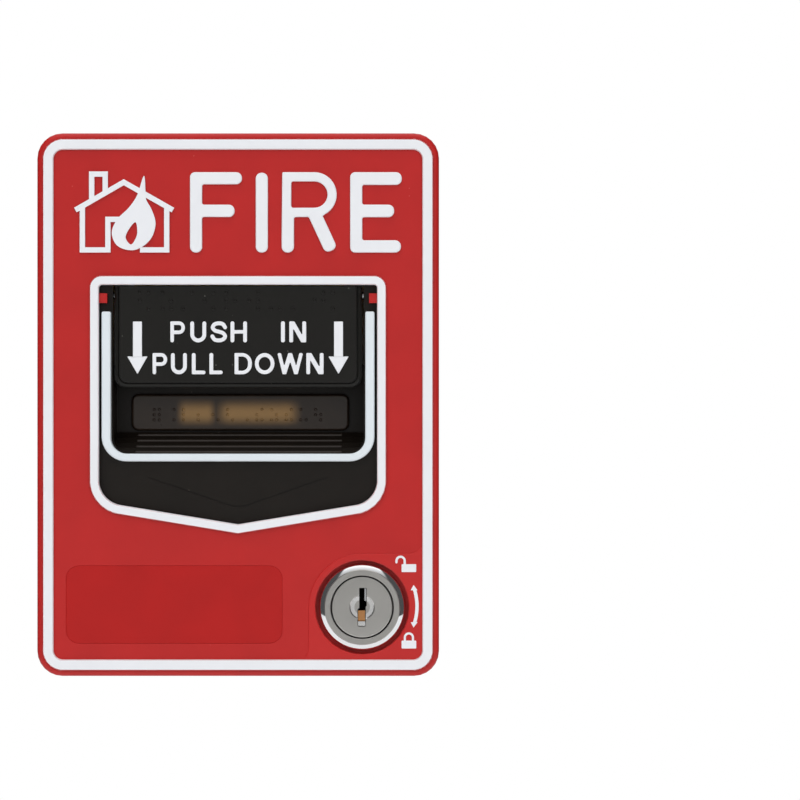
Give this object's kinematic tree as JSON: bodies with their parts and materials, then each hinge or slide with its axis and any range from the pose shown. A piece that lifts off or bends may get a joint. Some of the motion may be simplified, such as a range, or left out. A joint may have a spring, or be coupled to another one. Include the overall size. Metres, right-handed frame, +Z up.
{
  "type": "manual fire alarm pull station",
  "caption": "Wall-mounted dual-action manual fire alarm pull station: push plate, pull-down handle and key-locked hinged cover.",
  "frame": {"origin": "centre of the wall face of the back plate, in the plane that rests on the wall", "axes": "+Z up, +Y into the wall, so the front faces -Y, +X to the right as seen from the front"},
  "size_m": [0.104, 0.0353, 0.1404],
  "materials": {
    "red_shell": "satin fine-grained red",
    "black_moulding": "satin black",
    "white_trim": "satin cool white",
    "amber_plastic": "smoked amber",
    "yellow_flag": "bright yellow",
    "grey_moulding": "dark grey",
    "green_screw": "green",
    "plunger_red": "red",
    "chrome": "polished",
    "nickel": "satin nickel",
    "brass": "bright",
    "spring_steel": "drawn wire",
    "zinc_steel": "zinc plated"
  },
  "bodies": {
    "wall": {"back_plate": "zinc_steel", "block_screw_left": "zinc_steel", "block_screw_right": "zinc_steel", "ground_screw": "green_screw", "lower_hinge_pin": "spring_steel", "lower_hinge_screw_1": "zinc_steel", "lower_hinge_screw_2": "zinc_steel", "lower_hinge_wall_leaf": "zinc_steel", "strike_bracket": "zinc_steel", "strike_screw_1": "zinc_steel", "strike_screw_2": "zinc_steel", "terminal_block": "grey_moulding", "terminal_clamp_1": "brass", "terminal_clamp_2": "brass", "terminal_clamp_3": "brass", "terminal_clamp_4": "brass", "terminal_screw_1": "zinc_steel", "terminal_screw_2": "zinc_steel", "terminal_screw_3": "zinc_steel", "terminal_screw_4": "zinc_steel", "upper_hinge_pin": "spring_steel", "upper_hinge_screw_1": "zinc_steel", "upper_hinge_screw_2": "zinc_steel", "upper_hinge_wall_leaf": "zinc_steel"},
    "cover": {"activated_flag": "yellow_flag", "carrier": "black_moulding", "carrier_screw_lower_left": "zinc_steel", "carrier_screw_lower_right": "zinc_steel", "carrier_screw_upper_left": "zinc_steel", "carrier_screw_upper_right": "zinc_steel", "flag_screw_left": "zinc_steel", "flag_screw_right": "zinc_steel", "front_cover": "red_shell", "lock_body": "chrome", "lock_nut": "zinc_steel", "lower_hinge_cover_leaf": "zinc_steel", "microswitch_body": "black_moulding", "pawl_pin": "spring_steel", "return_spring_left": "spring_steel", "return_spring_right": "spring_steel", "spring_guide_left": "zinc_steel", "spring_guide_right": "zinc_steel", "switch_blade_closed": "brass", "switch_blade_common": "brass", "switch_blade_open": "brass", "switch_screw_left": "zinc_steel", "switch_screw_right": "zinc_steel", "upper_hinge_cover_leaf": "zinc_steel"},
    "plug": {"lock_plug": "nickel", "lock_cam": "zinc_steel", "cam_screw": "zinc_steel"},
    "handle": {"handle_body": "black_moulding", "handle_trim": "white_trim", "amber_window": "amber_plastic", "push_pivot_pin": "spring_steel"},
    "push_plate": {"push_plate": "black_moulding", "plate_spring": "spring_steel"},
    "plunger": {"switch_plunger": "plunger_red"},
    "pawl": {"latch_pawl": "zinc_steel"}
  },
  "joints": [
    {"name": "cover_hinge", "type": "hinge", "parent": "wall", "child": "cover", "pos_m": [-0.0496, -0.0026, 0], "axis": [0, 0, -1], "range_deg": [0, 90]},
    {"name": "lock_turn", "type": "hinge", "parent": "cover", "child": "plug", "pos_m": [0.0321, -0.0344, -0.0524], "axis": [0, -1, 0], "range_deg": [-90, 0]},
    {"name": "handle_pull", "type": "slide", "parent": "cover", "child": "handle", "axis": [0, 0, -1], "range_m": [0, 0.01], "stiffness_N_per_m": 300, "springref_m": -0.01, "deforming": ["return_spring_left", "return_spring_right"]},
    {"name": "plate_push", "type": "hinge", "parent": "handle", "child": "push_plate", "pos_m": [0, -0.0286, 0.0284], "axis": [1, 0, 0], "range_deg": [0, 6], "stiffness_Nm_per_rad": 0.05, "springref_deg": -17.19},
    {"name": "plunger_press", "type": "slide", "parent": "cover", "child": "plunger", "axis": [0, 1, 0], "range_m": [0, 0.0012]},
    {"name": "pawl_swing", "type": "hinge", "parent": "cover", "child": "pawl", "pos_m": [-0.02, -0.0236, -0.0355], "axis": [-1, 0, 0], "range_deg": [0, 11.5]}
  ],
  "couplings": [
    {"joint": "plunger_press", "follows": "handle_pull", "ratio": 0.12},
    {"joint": "pawl_swing", "follows": "handle_pull", "rad_per_m": 20}
  ]
}
